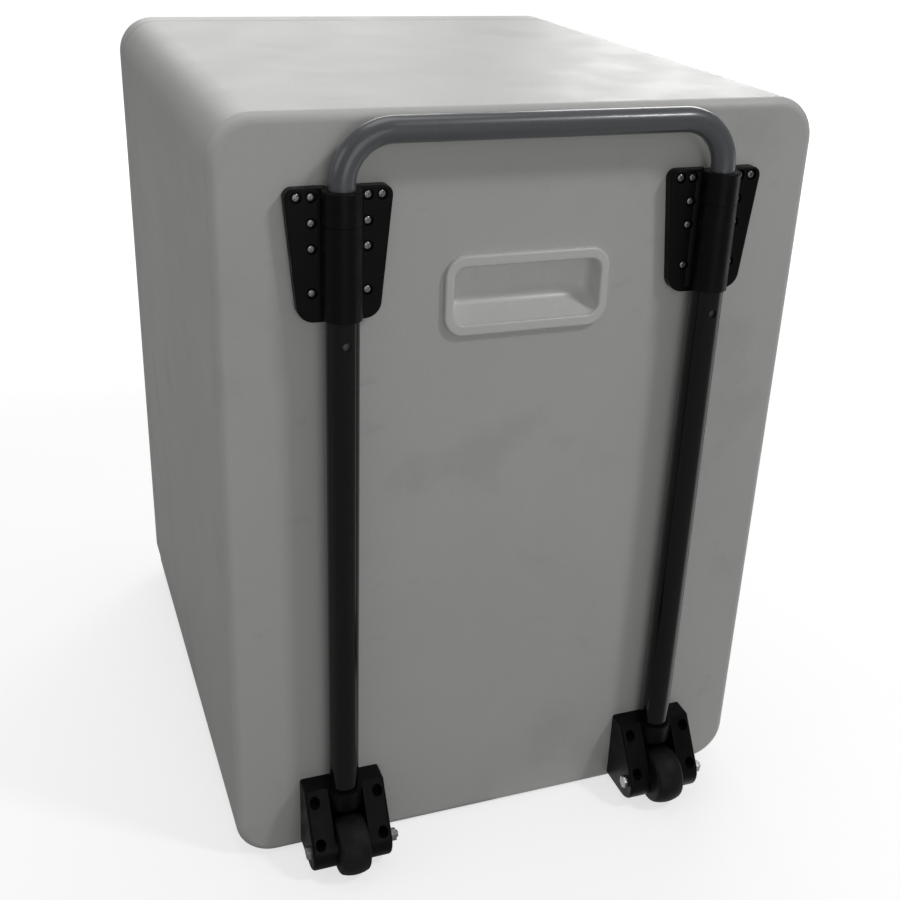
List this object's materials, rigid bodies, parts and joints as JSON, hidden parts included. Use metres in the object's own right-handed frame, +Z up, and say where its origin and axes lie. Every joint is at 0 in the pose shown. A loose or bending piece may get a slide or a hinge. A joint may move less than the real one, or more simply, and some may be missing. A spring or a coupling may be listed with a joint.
{
  "type": "wheeled cooler",
  "caption": "Upright insulated cooler box on small wheels with a telescopic tube handle, a hand-grip pocket, a hinged door and a turn latch.",
  "frame": {"origin": "centre of the cabinet underside, on the floor", "axes": "+X to the right seen from the trolley side, +Y from the trolley side to the door, +Z up"},
  "size_m": [0.4925, 0.584, 0.642],
  "materials": {
    "pale_shell": "satin, faint moulded texture",
    "white_liner": "smooth gloss",
    "foam": "cut rigid foam",
    "white_pocket": "smooth gloss",
    "black_plastic": "matte moulded",
    "black_tube": "gloss black paint",
    "grey_tube": "semi-gloss grey paint",
    "wheel_rubber": "matte rubber",
    "hub_plastic": "matte moulded",
    "gasket_rubber": "soft matte",
    "latch_plastic": "satin moulded",
    "zinc_steel": "bright zinc plated"
  },
  "bodies": {
    "cabinet": {"cabinet_hinge_screws": "zinc_steel", "grip_pocket": "white_pocket", "inner_liner": "white_liner", "insulation_foam": "foam", "keeper_screws": "zinc_steel", "latch_keeper": "latch_plastic", "left_axle_bolt": "zinc_steel", "left_axle_nut": "zinc_steel", "left_block_screws": "zinc_steel", "left_bracket": "black_plastic", "left_bracket_screws": "zinc_steel", "left_guide_collar": "black_plastic", "left_outer_tube": "black_tube", "left_wheel_block": "black_plastic", "lower_hinge_cabinet_leaf": "zinc_steel", "lower_hinge_pin": "zinc_steel", "outer_shell": "pale_shell", "right_axle_bolt": "zinc_steel", "right_axle_nut": "zinc_steel", "right_block_screws": "zinc_steel", "right_bracket": "black_plastic", "right_bracket_screws": "zinc_steel", "right_guide_collar": "black_plastic", "right_outer_tube": "black_tube", "right_wheel_block": "black_plastic", "upper_hinge_cabinet_leaf": "zinc_steel", "upper_hinge_pin": "zinc_steel"},
    "door": {"door_foam": "foam", "door_gasket": "gasket_rubber", "door_hinge_screws": "zinc_steel", "door_inner_panel": "white_liner", "door_skin": "pale_shell", "latch_housing": "latch_plastic", "lower_hinge_door_leaf": "zinc_steel", "upper_hinge_door_leaf": "zinc_steel"},
    "latch": {"latch_cam": "zinc_steel", "latch_cam_screw": "zinc_steel", "latch_handle": "latch_plastic"},
    "handle": {"left_button_spring": "zinc_steel", "left_leg_plug": "black_plastic", "right_button_spring": "zinc_steel", "right_leg_plug": "black_plastic", "u_handle": "grey_tube"},
    "left_button": {"left_snap_button": "zinc_steel"},
    "right_button": {"right_snap_button": "zinc_steel"},
    "left_wheel": {"left_wheel_hub": "hub_plastic", "left_wheel_tyre": "wheel_rubber"},
    "right_wheel": {"right_wheel_hub": "hub_plastic", "right_wheel_tyre": "wheel_rubber"}
  },
  "joints": [
    {"name": "door_hinge", "type": "hinge", "parent": "cabinet", "child": "door", "pos_m": [0.247, 0.24075, 0.321], "axis": [0, 0, -1], "range_deg": [0, 170]},
    {"name": "latch_turn", "type": "hinge", "parent": "door", "child": "latch", "pos_m": [-0.164, 0.264, 0.321], "axis": [0, -1, 0], "range_deg": [0, 90]},
    {"name": "handle_slide", "type": "slide", "parent": "cabinet", "child": "handle", "axis": [0, 0, 1], "range_m": [0, 0.376]},
    {"name": "left_button_press", "type": "slide", "parent": "handle", "child": "left_button", "axis": [0, 1, 0], "range_m": [0, 0.003], "stiffness_N_per_m": 600, "deforming": ["left_button_spring"]},
    {"name": "right_button_press", "type": "slide", "parent": "handle", "child": "right_button", "axis": [0, 1, 0], "range_m": [0, 0.003], "stiffness_N_per_m": 600, "deforming": ["right_button_spring"]},
    {"name": "left_wheel_spin", "type": "hinge", "parent": "cabinet", "child": "left_wheel", "pos_m": [-0.15, -0.278, 0.027], "axis": [1, 0, 0], "continuous": true},
    {"name": "right_wheel_spin", "type": "hinge", "parent": "cabinet", "child": "right_wheel", "pos_m": [0.15, -0.278, 0.027], "axis": [1, 0, 0], "continuous": true}
  ]
}
